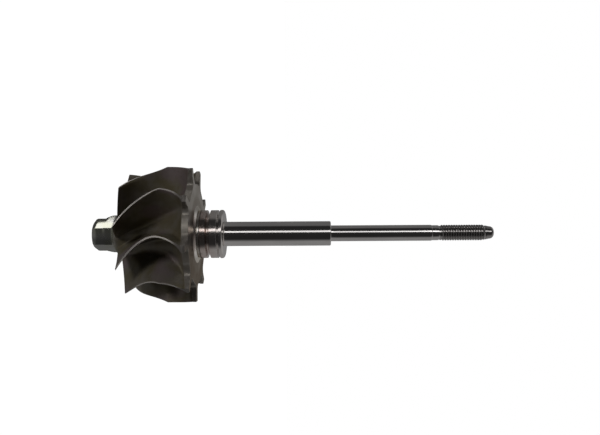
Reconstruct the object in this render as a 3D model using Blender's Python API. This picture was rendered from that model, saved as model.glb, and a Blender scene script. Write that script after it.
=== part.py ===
"""Turbine wheel of a turbocharger, with the steel shaft that is welded to it.

The rotor's axis is Z. The origin is the centre of the flat end of the wheel's
nose, and the shaft points up. Driving dimensions are in millimetres, and
angles are in degrees about the axis, counted from +X.

The wheel casting is one closed mesh. Between two neighbouring blades lies a
passage, whose cross-section is a U: down one blade's side, round the root
fillet, over the hub, round the next fillet and up the next blade's side. The
sections run from the trailing edges to the disc, where the U is the outline
of the scallop that is cut between the blades.
"""

import math

import bmesh
import bpy

MM = 0.001

# Wheel casting: nose
NOSE_FLAT_RADIUS = 5.15
NOSE_ROUNDING_AT_FLATS = 2.2
NOSE_ROUNDING_AT_CORNERS = 1.5
HEX_ACROSS_FLATS = 11.15
HEX_CORNER_ANGLE = 5.6
HEX_TOP = 4.1
COLLAR_RADIUS = 7.75
COLLAR_TOP = 7.6
COLLAR_BLEND_POWER = 1.33

# Wheel casting: hub, an elliptical sweep from the collar towards the disc
HUB_SWEEP_TOP = 38.0
HUB_SWEEP_RADIUS = 22.5
HUB_START_SHARE = 0.0587
HUB_END_SHARE = 0.8855

# Wheel casting: back disc and its collar
RIM_FRONT = 38.5
RIM_BACK = 40.0
BACK_CONE_RADIUS = 11.1
BACK_CONE_Z = 40.3
COLLAR_BACK_RADIUS = 9.4
COLLAR_BACK_Z = 41.8
CASTING_END_Z = 42.1

# Wheel casting: blades
BLADE_COUNT = 9
BLADE_TIP_ANGLE = 21.0
BLADE_WRAP = 30.8
BLADE_WRAP_POWER = 1.9
BLADE_RETURN = 9.5
TRAILING_TIP_RADIUS = 23.75
TRAILING_TIP_Z = 13.6
LEADING_RADIUS = 26.8
LEADING_START_Z = 29.4
SHROUD_POWER = 2.5
BLADE_ROOT_THICKNESS = 1.8
BLADE_TIP_THICKNESS = 0.8
TRAILING_THINNING = 0.35
TRAILING_THIN_SHARE = 0.25
TAB_HALF_WIDTH = 1.45
TAB_FLARE_LENGTH = 1.6
FILLET_AT_TRAILING_EDGE = 0.4
FILLET_AT_MIDDLE = 1.4
FILLET_AT_DISC = 2.2

# Shaft: boss with its sealing lands
SHAFT_START_Z = 42.4
BOSS_NECK_RADIUS = 9.1
BOSS_LAND_RADIUS = 9.5
FIRST_LAND_Z = 42.8
LAND_CHAMFER = 0.2
FIRST_LAND_END_Z = 44.45
OIL_GROOVE_Z = 44.85
OIL_GROOVE_END_Z = 45.55
OIL_GROOVE_RADIUS = 8.0
SECOND_LAND_Z = 45.95
SEAL_GROOVE_Z = 48.8
SEAL_GROOVE_END_Z = 49.55
SEAL_GROOVE_RADIUS = 7.6
FLANGE_RADIUS = 9.6
FLANGE_END_Z = 51.1
FLANGE_CORNER = 0.8

# Shaft: journal, stub and thread
JOURNAL_RADIUS = 4.85
JOURNAL_END_Z = 93.1
JOURNAL_CHAMFER = 0.3
JOURNAL_FILLET = 0.4
STUB_RADIUS = 3.15
STUB_END_Z = 132.9
RELIEF_RADIUS = 2.98
RELIEF_END_Z = 136.05
RELIEF_CHAMFER = 0.3
THREAD_PITCH = 1.0
THREAD_TURNS = 17
THREAD_ROOT_RADIUS = 2.58
THREAD_CREST_RADIUS = 3.1
THREAD_CLEAR = 0.1
TIP_START_RADIUS = 2.78
TIP_TAPER_END_Z = 156.5
TIP_TAPER_RADIUS = 2.38
SHAFT_END_Z = 157.6
SHAFT_END_RADIUS = 1.4

# Faceting
EXIT_STATIONS = 9
LEADING_STATIONS = 4
FLARE_STATIONS = 2
SIDE_ROWS = 3
FILLET_ROWS = 3
FLOOR_ROWS = 5
ROUNDING_STEPS = 4
BLEND_STEPS = 4
SHAFT_COLUMNS = 32
SHARP_ANGLE = 30.0


def clear_scene():
    """Remove every object of the open file."""
    for item in list(bpy.data.objects):
        bpy.data.objects.remove(item, do_unlink=True)


def principled(name, colour, roughness, metallic):
    """Make a Principled BSDF material."""
    material = bpy.data.materials.new(name)
    material.use_nodes = True
    shader = material.node_tree.nodes["Principled BSDF"]
    shader.inputs["Base Color"].default_value = (*colour, 1.0)
    shader.inputs["Roughness"].default_value = roughness
    shader.inputs["Metallic"].default_value = metallic
    return material


def cast_alloy():
    return principled("cast_alloy", (0.09, 0.075, 0.065), 0.45, 1.0)


def shaft_steel():
    return principled("shaft_steel", (0.45, 0.44, 0.43), 0.25, 1.0)


def polar(radius, degrees, z):
    """Give the point at a radius, an angle and a height, in metres."""
    angle = math.radians(degrees)
    return (radius * math.cos(angle) * MM, radius * math.sin(angle) * MM, z * MM)


def mix(start, end, share):
    return start + (end - start) * share


def new_object(name, maker, material):
    """Turn a bmesh into a smooth-shaded object with one material."""
    bmesh.ops.recalc_face_normals(maker, faces=maker.faces)
    mesh = bpy.data.meshes.new(name)
    maker.to_mesh(mesh)
    maker.free()
    mesh.materials.append(material)
    mesh.shade_smooth()
    mesh.set_sharp_from_angle(angle=math.radians(SHARP_ANGLE))
    result = bpy.data.objects.new(name, mesh)
    bpy.context.scene.collection.objects.link(result)
    return result


def add_ring(maker, points):
    """Add points given as radius, angle and height."""
    return [maker.verts.new(polar(*point)) for point in points]


def bridge(maker, lower, upper):
    """Join two closed rings of the same count with four-sided faces."""
    count = len(lower)
    for column in range(count):
        after = (column + 1) % count
        maker.faces.new((lower[column], lower[after], upper[after], upper[column]))


def hexagon_radius(angle):
    """Give the radius of the hexagon's outline at an angle."""
    from_flat = (angle - HEX_CORNER_ANGLE) % 60.0 - 30.0
    return HEX_ACROSS_FLATS / 2 / math.cos(math.radians(from_flat))


def hub_point(share):
    """Give height and radius on the hub's sweep, from the collar to the disc."""
    angle = share * math.pi / 2
    z = mix(COLLAR_TOP, HUB_SWEEP_TOP, math.sin(angle))
    radius = mix(COLLAR_RADIUS, HUB_SWEEP_RADIUS, 1.0 - math.cos(angle))
    return z, radius


def shroud_radius(z):
    """Give the radius of a blade's outer edge at a height."""
    if z >= LEADING_START_Z:
        return LEADING_RADIUS
    share = (z - TRAILING_TIP_Z) / (LEADING_START_Z - TRAILING_TIP_Z)
    return mix(TRAILING_TIP_RADIUS, LEADING_RADIUS, share ** SHROUD_POWER)


def blade_angle(z):
    """Give a blade's angle at a height; it is the same at every radius."""
    if z <= LEADING_START_Z:
        share = (LEADING_START_Z - z) / (LEADING_START_Z - TRAILING_TIP_Z)
        return BLADE_TIP_ANGLE - BLADE_WRAP * (1.0 - share ** BLADE_WRAP_POWER)
    share = (z - LEADING_START_Z) / (RIM_FRONT - LEADING_START_Z)
    return BLADE_TIP_ANGLE - BLADE_WRAP + BLADE_RETURN * share ** 2


def slant(z, radius):
    """Give how much wider a blade is round the axis than across its surface."""
    step = 0.05
    turn = math.radians(blade_angle(z + step) - blade_angle(z - step))
    slope = radius * turn / (2 * step)
    return math.sqrt(1.0 + slope * slope)


def half_thickness(share, height_share):
    """Give half a blade's thickness along its length and height."""
    full = mix(BLADE_ROOT_THICKNESS, BLADE_TIP_THICKNESS, height_share)
    thin = TRAILING_THINNING * max(1.0 - share / TRAILING_THIN_SHARE, 0.0)
    return full * (1.0 - thin) / 2


def fillet_radius(share):
    """Give the radius of the root fillet along a blade."""
    if share < TRAILING_THIN_SHARE:
        return mix(FILLET_AT_TRAILING_EDGE, FILLET_AT_MIDDLE, share / TRAILING_THIN_SHARE)
    rest = (share - TRAILING_THIN_SHARE) / (1.0 - TRAILING_THIN_SHARE)
    return mix(FILLET_AT_MIDDLE, FILLET_AT_DISC, rest ** 2)


def flare_share(share):
    """Give how far a blade has widened into its disc tab, from 0 to 1."""
    before_disc = (1.0 - share) * (RIM_FRONT - TRAILING_TIP_Z)
    if before_disc >= TAB_FLARE_LENGTH:
        return 0.0
    return 1.0 - math.sqrt(1.0 - (1.0 - before_disc / TAB_FLARE_LENGTH) ** 2)


def side_profile(share):
    """Give one blade side at a station, from its edge down to the hub.

    Each entry has radius, height and the distance round the axis from the
    blade's middle surface.
    """
    hub_z, hub_radius = hub_point(mix(HUB_START_SHARE, HUB_END_SHARE, share))
    edge_z = mix(TRAILING_TIP_Z, RIM_FRONT, share)
    edge_radius = shroud_radius(edge_z)
    length = math.hypot(edge_z - hub_z, edge_radius - hub_radius)
    fillet = fillet_radius(share)
    heights = [(mix(length, fillet, row / SIDE_ROWS), 0.0) for row in range(SIDE_ROWS)]
    for row in range(FILLET_ROWS + 1):
        turn = math.pi / 2 * row / FILLET_ROWS
        heights.append((fillet * (1.0 - math.sin(turn)), fillet * (1.0 - math.cos(turn))))
    profile = []
    for height, extra in heights:
        height_share = height / length
        z = mix(hub_z, edge_z, height_share)
        radius = mix(hub_radius, edge_radius, height_share)
        blade = half_thickness(share, height_share) * slant(z, radius)
        widened = mix(blade, TAB_HALF_WIDTH, flare_share(share))
        profile.append((radius, z, widened + extra))
    return profile


def passage_section(share, sector):
    """Give the U-shaped section of one passage, from blade edge to blade edge."""
    pitch = 360.0 / BLADE_COUNT
    profile = side_profile(share)
    near = []
    far = []
    for radius, z, offset in profile:
        spread = math.degrees(offset / radius)
        near.append((radius, pitch * sector + blade_angle(z) + spread, z))
        far.append((radius, pitch * (sector + 1) + blade_angle(z) - spread, z))
    radius, start, z = near[-1]
    floor = [(radius, mix(start, far[-1][1], row / FLOOR_ROWS), z) for row in range(1, FLOOR_ROWS)]
    return near + floor + far[::-1]


def stations():
    """Give the shares of a blade's length at which it has a section."""
    length = RIM_FRONT - TRAILING_TIP_Z
    kink = (LEADING_START_Z - TRAILING_TIP_Z) / length
    flare = 1.0 - TAB_FLARE_LENGTH / length
    shares = [kink * step / EXIT_STATIONS for step in range(EXIT_STATIONS)]
    shares += [mix(kink, flare, step / LEADING_STATIONS) for step in range(LEADING_STATIONS)]
    shares += [mix(flare, 1.0, step / FLARE_STATIONS) for step in range(FLARE_STATIONS + 1)]
    return shares


def back_z(radius):
    """Give the height of the disc's slightly coned back face at a radius."""
    share = (LEADING_RADIUS - radius) / (LEADING_RADIUS - BACK_CONE_RADIUS)
    return mix(RIM_BACK, BACK_CONE_Z, share)


def make_passages(maker):
    """Make blades, hub and disc edge; give the open rings at both ends."""
    grids = []
    for sector in range(BLADE_COUNT):
        rows = [add_ring(maker, passage_section(share, sector)) for share in stations()]
        outline = passage_section(1.0, sector)
        back = [(radius, angle, back_z(radius)) for radius, angle, z in outline]
        rows.append(add_ring(maker, back))
        grids.append(rows)
    columns = len(grids[0][0])
    root = SIDE_ROWS + FILLET_ROWS
    front_ring = []
    back_ring = []
    for sector in range(BLADE_COUNT):
        rows = grids[sector]
        following = grids[(sector + 1) % BLADE_COUNT]
        for lower, upper in zip(range(len(rows) - 1), range(1, len(rows))):
            for column in range(columns - 1):
                maker.faces.new((rows[lower][column], rows[lower][column + 1],
                                 rows[upper][column + 1], rows[upper][column]))
            maker.faces.new((rows[lower][-1], following[lower][0],
                             following[upper][0], rows[upper][-1]))
        for end in (0, -1):
            for step in range(root):
                maker.faces.new((rows[end][-1 - step], following[end][step],
                                 following[end][step + 1], rows[end][-2 - step]))
        front_ring += rows[0][root:columns - root]
        back_ring += rows[-1][root:columns - root]
    return front_ring, back_ring


def nose_end_point(angle, share):
    """Give the nose's outline between its flat end and the full hexagon."""
    apothem = HEX_ACROSS_FLATS / 2
    corner = apothem / math.cos(math.radians(30.0))
    outline = hexagon_radius(angle)
    from_flat = (outline - apothem) / (corner - apothem)
    height = mix(NOSE_ROUNDING_AT_FLATS, NOSE_ROUNDING_AT_CORNERS, from_flat)
    turn = share * math.pi / 2
    radius = mix(NOSE_FLAT_RADIUS, outline, math.sin(turn))
    return radius, angle, height * (1.0 - math.cos(turn))


def collar_blend_point(angle, share):
    """Give the nose's outline between the hexagon's top and the round collar."""
    swell = math.sin(share * math.pi / 2)
    radius = mix(hexagon_radius(angle), COLLAR_RADIUS, swell)
    return radius, angle, mix(HEX_TOP, COLLAR_TOP, share ** COLLAR_BLEND_POWER)


def make_nose(maker, front_ring):
    """Make the nose from its flat end up to the ring of the blades' roots."""
    columns = len(front_ring)
    step = 360.0 / columns
    start_z = hub_point(HUB_START_SHARE)[0]
    middle = blade_angle(start_z) + 180.0 / BLADE_COUNT
    first = middle - step * (columns / BLADE_COUNT - 1) / 2
    first += (HEX_CORNER_ANGLE - first + step / 2) % step - step / 2
    angles = [first + step * column for column in range(columns)]
    rings = []
    for row in range(ROUNDING_STEPS + 1):
        share = row / ROUNDING_STEPS
        rings.append(add_ring(maker, [nose_end_point(angle, share) for angle in angles]))
    for row in range(BLEND_STEPS + 1):
        share = row / BLEND_STEPS
        rings.append(add_ring(maker, [collar_blend_point(angle, share) for angle in angles]))
    rings.append(front_ring)
    for lower, upper in zip(rings, rings[1:]):
        bridge(maker, lower, upper)
    maker.faces.new(rings[0])


def make_back(maker, back_ring):
    """Make the disc's back face, its collar and the flat weld face."""
    columns = len(back_ring)
    step = 360.0 / columns
    first = blade_angle(RIM_FRONT) + step / 2
    angles = [first + step * column for column in range(columns)]
    rings = [back_ring]
    for radius, z in ((BACK_CONE_RADIUS, BACK_CONE_Z), (COLLAR_BACK_RADIUS, COLLAR_BACK_Z),
                      (COLLAR_BACK_RADIUS, CASTING_END_Z)):
        rings.append(add_ring(maker, [(radius, angle, z) for angle in angles]))
    for lower, upper in zip(rings, rings[1:]):
        bridge(maker, lower, upper)
    maker.faces.new(rings[-1])


def make_wheel(material):
    """Make the wheel casting: nose, hub, blades and scalloped disc in one solid."""
    maker = bmesh.new()
    front_ring, back_ring = make_passages(maker)
    make_nose(maker, front_ring)
    make_back(maker, back_ring)
    return new_object("turbine_wheel", maker, material)


def boss_profile():
    """Give the turned outline of the boss, from the weld face to the journal."""
    corner = FLANGE_CORNER * (1.0 - math.sqrt(0.5))
    return [
        (SHAFT_START_Z, BOSS_NECK_RADIUS),
        (FIRST_LAND_Z, BOSS_NECK_RADIUS),
        (FIRST_LAND_Z + LAND_CHAMFER, BOSS_LAND_RADIUS),
        (FIRST_LAND_END_Z, BOSS_LAND_RADIUS),
        (OIL_GROOVE_Z, OIL_GROOVE_RADIUS),
        (OIL_GROOVE_END_Z, OIL_GROOVE_RADIUS),
        (SECOND_LAND_Z, BOSS_LAND_RADIUS),
        (SEAL_GROOVE_Z, BOSS_LAND_RADIUS),
        (SEAL_GROOVE_Z, SEAL_GROOVE_RADIUS),
        (SEAL_GROOVE_END_Z, SEAL_GROOVE_RADIUS),
        (SEAL_GROOVE_END_Z, FLANGE_RADIUS),
        (FLANGE_END_Z - FLANGE_CORNER, FLANGE_RADIUS),
        (FLANGE_END_Z - corner, FLANGE_RADIUS - corner),
        (FLANGE_END_Z, FLANGE_RADIUS - FLANGE_CORNER),
        (FLANGE_END_Z, JOURNAL_RADIUS + JOURNAL_FILLET),
    ]


def journal_profile():
    """Give the turned outline from the boss's face to the start of the thread."""
    return [
        (FLANGE_END_Z + JOURNAL_FILLET, JOURNAL_RADIUS),
        (JOURNAL_END_Z - JOURNAL_CHAMFER, JOURNAL_RADIUS),
        (JOURNAL_END_Z, JOURNAL_RADIUS - JOURNAL_CHAMFER),
        (JOURNAL_END_Z, STUB_RADIUS),
        (STUB_END_Z, STUB_RADIUS),
        (STUB_END_Z + RELIEF_CHAMFER, RELIEF_RADIUS),
        (RELIEF_END_Z - RELIEF_CHAMFER, RELIEF_RADIUS),
        (RELIEF_END_Z, THREAD_ROOT_RADIUS),
    ]


def tip_profile(thread_end):
    """Give the turned outline of the plain end beyond the thread."""
    return [
        (thread_end, THREAD_ROOT_RADIUS),
        (thread_end + THREAD_CLEAR, TIP_START_RADIUS),
        (TIP_TAPER_END_Z, TIP_TAPER_RADIUS),
        (SHAFT_END_Z, SHAFT_END_RADIUS),
    ]


def thread_rows(maker, first_z):
    """Add the thread's helical rows of points, root and crest in turn."""
    rows = []
    for row in range(2 * THREAD_TURNS + 1):
        points = []
        for column in range(SHAFT_COLUMNS):
            turn = row / 2 + column / SHAFT_COLUMNS
            radius = THREAD_ROOT_RADIUS
            if row % 2:
                fade = min(turn, THREAD_TURNS + 1 - turn, 1.0)
                radius = mix(THREAD_ROOT_RADIUS, THREAD_CREST_RADIUS, fade)
            points.append((radius, 360.0 * column / SHAFT_COLUMNS, first_z + THREAD_PITCH * turn))
        rows.append(add_ring(maker, points))
    return rows


def join_thread(maker, rows, first_ring, last_ring):
    """Join the thread's rows to each other and to the plain rings at both ends."""
    last = SHAFT_COLUMNS - 1
    for row in range(len(rows) - 1):
        for column in range(last):
            maker.faces.new((rows[row][column], rows[row][column + 1],
                             rows[row + 1][column + 1], rows[row + 1][column]))
    for row in range(len(rows) - 3):
        maker.faces.new((rows[row][last], rows[row + 2][0], rows[row + 3][0], rows[row + 1][last]))
    for column in range(last):
        maker.faces.new((first_ring[column], first_ring[column + 1],
                         rows[0][column + 1], rows[0][column]))
        maker.faces.new((rows[-1][column], rows[-1][column + 1],
                         last_ring[column + 1], last_ring[column]))
    maker.faces.new((first_ring[last], first_ring[0], rows[0][0]))
    maker.faces.new((first_ring[last], rows[0][0], rows[1][0]))
    maker.faces.new((first_ring[last], rows[1][0], rows[2][0]))
    maker.faces.new((first_ring[last], rows[2][0], rows[0][last]))
    maker.faces.new((rows[-3][last], rows[-1][0], rows[-2][last]))
    maker.faces.new((rows[-2][last], rows[-1][0], rows[-1][last]))
    maker.faces.new((rows[-1][last], rows[-1][0], last_ring[0]))
    maker.faces.new((rows[-1][last], last_ring[0], last_ring[last]))


def turned(maker, outline):
    """Add one ring for each height and radius of a turned outline."""
    rings = []
    for z, radius in outline:
        points = [(radius, 360.0 * column / SHAFT_COLUMNS, z) for column in range(SHAFT_COLUMNS)]
        rings.append(add_ring(maker, points))
    for lower, upper in zip(rings, rings[1:]):
        bridge(maker, lower, upper)
    return rings


def make_shaft(material):
    """Make the shaft from its weld face to its threaded end as one closed mesh."""
    maker = bmesh.new()
    body = turned(maker, boss_profile() + journal_profile())
    thread_start = RELIEF_END_Z + THREAD_CLEAR
    thread_end = thread_start + THREAD_PITCH * (THREAD_TURNS + 1) + THREAD_CLEAR
    tip = turned(maker, tip_profile(thread_end))
    join_thread(maker, thread_rows(maker, thread_start), body[-1], tip[0])
    maker.faces.new(body[0])
    maker.faces.new(tip[-1])
    return new_object("shaft", maker, material)


def main():
    clear_scene()
    make_wheel(cast_alloy())
    make_shaft(shaft_steel())


main()
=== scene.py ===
"""Looks of a turbocharger's turbine wheel and shaft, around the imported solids.

The rotor stands on its nose, its axis is Z, and the camera lies on its side,
so in the picture Z points right and -X points up. Driving dimensions are in
millimetres, and angles are in degrees about the axis, counted from +X. Noise
scales count per metre, and colours are linear.
"""

import math

import bmesh
import bpy
from mathutils import Matrix, Vector


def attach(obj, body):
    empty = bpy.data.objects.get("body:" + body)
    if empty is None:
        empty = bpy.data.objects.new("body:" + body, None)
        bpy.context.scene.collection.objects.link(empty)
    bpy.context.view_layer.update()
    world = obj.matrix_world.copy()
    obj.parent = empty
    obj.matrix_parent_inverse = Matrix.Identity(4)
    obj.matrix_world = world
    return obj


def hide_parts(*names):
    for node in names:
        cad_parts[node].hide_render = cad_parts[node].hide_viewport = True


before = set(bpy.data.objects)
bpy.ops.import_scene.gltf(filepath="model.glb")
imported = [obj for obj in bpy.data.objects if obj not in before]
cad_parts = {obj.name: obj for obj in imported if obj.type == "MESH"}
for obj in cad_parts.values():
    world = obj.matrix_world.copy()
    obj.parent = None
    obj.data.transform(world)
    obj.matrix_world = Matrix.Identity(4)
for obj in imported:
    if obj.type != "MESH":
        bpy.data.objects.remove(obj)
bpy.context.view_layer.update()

MM = 0.001

# Wheel casting: nose
NOSE_FLAT_RADIUS = 5.15
NOSE_ROUNDING_AT_FLATS = 2.2
NOSE_ROUNDING_AT_CORNERS = 1.5
HEX_ACROSS_FLATS = 11.15
HEX_CORNER_ANGLE = 5.6
HEX_PITCH = 60.0
HEX_HALF_PITCH = 30.0
HEX_CROWN = 0.13
LONG_FLAT_ANGLES = (215.6, 275.6, 335.6)
LONG_FLAT_SETTLING = 1.2
LONG_FLAT_RUN_OUT_Z = 7.9
LONG_FLAT_END_Z = 9.4
HEX_TOP = 4.1
COLLAR_RADIUS = 7.75
COLLAR_TOP = 7.6
COLLAR_BLEND_POWER = 1.33

# Wheel casting: hub
HUB_SWEEP_TOP = 38.0
HUB_SWEEP_RADIUS = 22.5
HUB_START_SHARE = 0.0587
HUB_END_SHARE = 0.8855

# Wheel casting: back disc and its collar
RIM_FRONT = 38.5
RIM_BACK = 40.0
BACK_CONE_RADIUS = 11.1
BACK_CONE_Z = 40.3
CASTING_END_Z = 42.1
BACK_RING_RADIUS = 16.5

# Turned outline behind the coned face, as radius and height: step, steep cone, groove and land
BACK_OUTLINE = ((BACK_CONE_RADIUS + 0.35, BACK_CONE_Z - 0.02), (BACK_CONE_RADIUS + 0.25, BACK_CONE_Z),
                (BACK_CONE_RADIUS, BACK_CONE_Z + 0.1), (10.9, 40.45), (10.0, 41.1), (9.8, 41.2),
                (9.0, 41.25), (9.0, 41.5), (9.4, 41.52), (9.5, 41.62), (9.5, CASTING_END_Z))

# Wheel casting: blades
BLADE_COUNT = 9
BLADE_TIP_ANGLE = 21.0
BLADE_WRAP = 30.8
BLADE_WRAP_POWER = 1.9
BLADE_RETURN = 9.5
TRAILING_TIP_RADIUS = 23.75
TRAILING_TIP_Z = 13.6
LEADING_RADIUS = 26.8
LEADING_START_Z = 29.4
SHROUD_POWER = 2.5
BLADE_ROOT_THICKNESS = 1.8
BLADE_TIP_THICKNESS = 0.8
TRAILING_THINNING = 0.35
TRAILING_THIN_SHARE = 0.25
TAB_HALF_WIDTH = 1.45
TAB_FLARE_LENGTH = 1.6
FILLET_AT_TRAILING_EDGE = 0.4
FILLET_AT_MIDDLE = 1.4
FILLET_AT_DISC = 2.2
EDGE_BEVEL = 0.13
DISC_BEVEL = 0.14

# The trailing edge's bevel: its share of the full width at a blade's tip, and its growth from there
TRAILING_BEVEL_AT_TIP = 0.5
TRAILING_BEVEL_GROWTH = 3.0

# Shaft
SHAFT_START_Z = 42.4
BOSS_LAND_RADIUS = 9.5
FIRST_LAND_Z = 42.8
FIRST_LAND_END_Z = 44.45
OIL_GROOVE_Z = 45.2
OIL_GROOVE_RADIUS = 8.0
OIL_GROOVE_POWER = 4
SECOND_LAND_Z = 45.95
SEAL_GROOVE_Z = 48.8
SEAL_GROOVE_END_Z = 49.55
SEAL_GROOVE_RADIUS = 7.6
FLANGE_RADIUS = 9.6
FLANGE_END_Z = 51.1
FLANGE_CORNER = 0.8
FLANGE_FACE_RADIUS = 6.4
BOSS_LIP = 0.12
JOURNAL_RADIUS = 4.85
JOURNAL_END_Z = 93.1
JOURNAL_FILLET = 0.4
SHOULDER_FILLET = 0.15
STUB_RADIUS = 3.15
STUB_END_Z = 132.9
RELIEF_RADIUS = 2.98
RELIEF_END_Z = 136.05
THREAD_PITCH = 1.0
THREAD_TURNS = 17
THREAD_ROOT_RADIUS = 2.72
THREAD_CREST_RADIUS = 3.1
THREAD_START_STEP = 0.05
THREAD_CLEAR = 0.1
TIP_START_RADIUS = 2.78
TIP_START_CHAMFER = 0.12
TIP_TAPER_END_Z = 156.5
TIP_TAPER_RADIUS = 2.38
SHAFT_END_Z = 157.6

# Form of the thread, in parts of its pitch: from the crest's middle to the root, and the flank
THREAD_ROOT_SHARE = 0.42
THREAD_FLANK_SHARE = 0.24

# Small edges of the shaft, as steps in height and radius from the corner that each belongs to
JOURNAL_EDGE = ((-0.3, 0.0), (-0.08, -0.16), (0.0, -0.3))
SHOULDER_ROOT = ((0.02, 0.04), (SHOULDER_FILLET, 0.0))
STUB_EDGE = ((-0.05, 0.0), (0.0, -0.02))
RELIEF_START = ((0.2, 0.0), (0.25, 0.0))
RELIEF_EDGE = ((-0.55, 0.0), (-0.5, -0.01))

# Tapered and rounded tip, and section of the weld's seam, as height and radius
TIP_OUTLINE = ((155.4, 2.55), (TIP_TAPER_END_Z - 0.2, TIP_TAPER_RADIUS + 0.03),
               (TIP_TAPER_END_Z + 0.15, TIP_TAPER_RADIUS - 0.06), (156.95, 2.12), (157.2, 1.9),
               (157.42, 1.6), (157.54, 1.25), (SHAFT_END_Z, 0.8))
WELD_OUTLINE = ((41.95, 8.2), (42.0, 9.3), (42.1, 9.42), (42.25, 9.46), (42.4, 9.42),
                (42.5, 9.3), (42.52, 8.2))

# Faceting of the visual meshes
EXIT_STATIONS = 44
LEADING_STATIONS = 24
FLARE_STATIONS = 8
FLARE_SPACING_POWER = 0.7
SIDE_ROWS = 14
FILLET_ROWS = 8
FLOOR_ROWS = 19
ROUNDING_STEPS = 10
HEX_ROW_SHARES = (0.08, 0.92)
BLEND_STEPS = 20
DISC_EDGE_ROWS = 4
SHAFT_COLUMNS = 96
ARC_STEPS = 6
OIL_GROOVE_STEPS = 12
PLAIN_RING_SPACING = 4.0
JOURNAL_RINGS_START_Z = 52.4
JOURNAL_RINGS = 11
STUB_RINGS_START_Z = 96.0
STUB_RINGS = 10
THREAD_ROWS = 8
SHARP_ANGLE = 38.0

# Material slots of the casting
CAST_SLOT = 0
EDGE_SLOT = 1
BACK_SLOT = 2
RIM_SLOT = 3

# Material slots of the shaft
BOSS_SLOT = 0
GROUND_SLOT = 1
THREAD_SLOT = 2

# Where surfaces change, from the first limit to the second
CAST_SKIN_Z = (7.0, 11.0)
DULL_EDGE_Z = (34.0, 37.2)
# The disc's back turns darker and browner towards +X, the lower side in the picture, with a ragged
# border
BROWN_SIDE_X = (2.0, 18.0)
BROWN_SIDE_RAGGEDNESS = 10.0
# Radii over which the painted shade round the disc's collar fades out
PAINTED_SHADE_RADIUS = (13.5, 16.5)
BRIGHT_COLLAR_RADIUS = (11.5, 11.2)
HEAT_TINT_Z = (42.5, 50.5)
HEAT_TINT_SHARE = 0.8

# Photograph's frame
PHOTO_WIDTH = 600
PHOTO_FOCAL_PX = 613.8
PHOTO_SCALE = 0.397
PHOTO_CENTRE_Z = 80.99
PHOTO_CENTRE_UP = 6.36
PHOTO_ROLL = 0.006
SENSOR_WIDTH = 36.0

# In metres
CLIP_START = 0.01
CLIP_END = 20.0
FLOOR_HALF_WIDTH = 3.0

# Long lamp over the camera, in parts: name, start and end along the rotor, place
# above the rotor, height and brightness
LAMP_OVER_CAMERA = (("lamp_over_wheel", -145.0, 15.0, 174.0, 90.0, 2.1),
                    ("lamp_over_journal", 15.0, 115.0, 180.0, 125.0, 1.45),
                    ("lamp_over_stub", 115.0, 235.0, 196.0, 135.0, 1.5),
                    ("lamp_over_thread", 235.0, 640.0, 214.0, 150.0, 2.2))
LAMP_DISTANCE = 470.0

# Other lamps: name, place, target, size, watts and colour; only the metal mirrors
# the first, and only dull surfaces are lit by the second
MIRRORED_LAMP = ("lamp_left_above", (-111, 379.5, -81), (4, 5, 3), (100, 101), 0.063)
DULL_LAMP = ("lamp_left_front", (-195, 195, 402), (28, 0, 0), (160, 120), 0.97, (1.0, 1.0, 1.03))

# Brightness of the surroundings that the metal mirrors
SKY_FRONT = 0.03
SKY_FRONT_LEFT = 0.19
SKY_BEHIND_LEFT_ABOVE = 0.08
SKY_BEHIND_LEFT_BELOW = 0.2
SKY_FOR_DULL_SURFACES = 0.02
SKY_BEHIND_ABOVE = 0.2
SKY_BEHIND_BELOW = 0.37
SKY_BEHIND_RIGHT = 0.6

# Limits between the parts of the surroundings, on one axis of a direction of length 1
SKY_BELOW_X = (-0.25, 0.25)
SKY_BEHIND_ABOVE_Y = (-0.34, -0.08)
SKY_BEHIND_BELOW_Y = (-0.66, -0.15)
SKY_RIGHT_Y = (0.0, 0.3)
SKY_RIGHT_Z = (0.45, 0.75)
SKY_LEFT_Z = (-0.15, -0.3)
SKY_FRONT_LEFT_X = (0.36, 0.16)
SKY_FRONT_LEFT_Z = (-0.2, -0.55)


def mix(start, end, share):
    """Give the number between two others, from the first at share 0 to the second at 1."""
    return start + (end - start) * share


def polar(radius, degrees, z):
    """Give the point at a radius, an angle and a height, in metres."""
    angle = math.radians(degrees)
    return Vector((radius * math.cos(angle) * MM, radius * math.sin(angle) * MM, z * MM))


# Shapes shared with the part's source

def hexagon_radius(angle):
    """Give the radius of the slightly crowned hexagon's outline at an angle."""
    from_flat = (angle - HEX_CORNER_ANGLE) % HEX_PITCH - HEX_HALF_PITCH
    crown = HEX_CROWN * (1.0 - (from_flat / HEX_HALF_PITCH) ** 2)
    return HEX_ACROSS_FLATS / 2 / math.cos(math.radians(from_flat)) + crown


def hub_point(share):
    """Give height and radius on the hub's sweep, from the collar to the disc."""
    angle = share * math.pi / 2
    z = mix(COLLAR_TOP, HUB_SWEEP_TOP, math.sin(angle))
    radius = mix(COLLAR_RADIUS, HUB_SWEEP_RADIUS, 1.0 - math.cos(angle))
    return z, radius


def shroud_radius(z):
    """Give the radius of a blade's outer edge at a height."""
    if z >= LEADING_START_Z:
        return LEADING_RADIUS
    share = (z - TRAILING_TIP_Z) / (LEADING_START_Z - TRAILING_TIP_Z)
    return mix(TRAILING_TIP_RADIUS, LEADING_RADIUS, max(share, 0.0) ** SHROUD_POWER)


def blade_angle(z):
    """Give a blade's angle at a height; it is the same at every radius."""
    if z <= LEADING_START_Z:
        share = (LEADING_START_Z - z) / (LEADING_START_Z - TRAILING_TIP_Z)
        return BLADE_TIP_ANGLE - BLADE_WRAP * (1.0 - share ** BLADE_WRAP_POWER)
    share = (z - LEADING_START_Z) / (RIM_FRONT - LEADING_START_Z)
    return BLADE_TIP_ANGLE - BLADE_WRAP + BLADE_RETURN * share ** 2


def slant(z, radius):
    """Give how much wider a blade is round the axis than across its surface."""
    step = 0.05
    turn = math.radians(blade_angle(z + step) - blade_angle(z - step))
    slope = radius * turn / (2 * step)
    return math.sqrt(1.0 + slope * slope)


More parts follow.
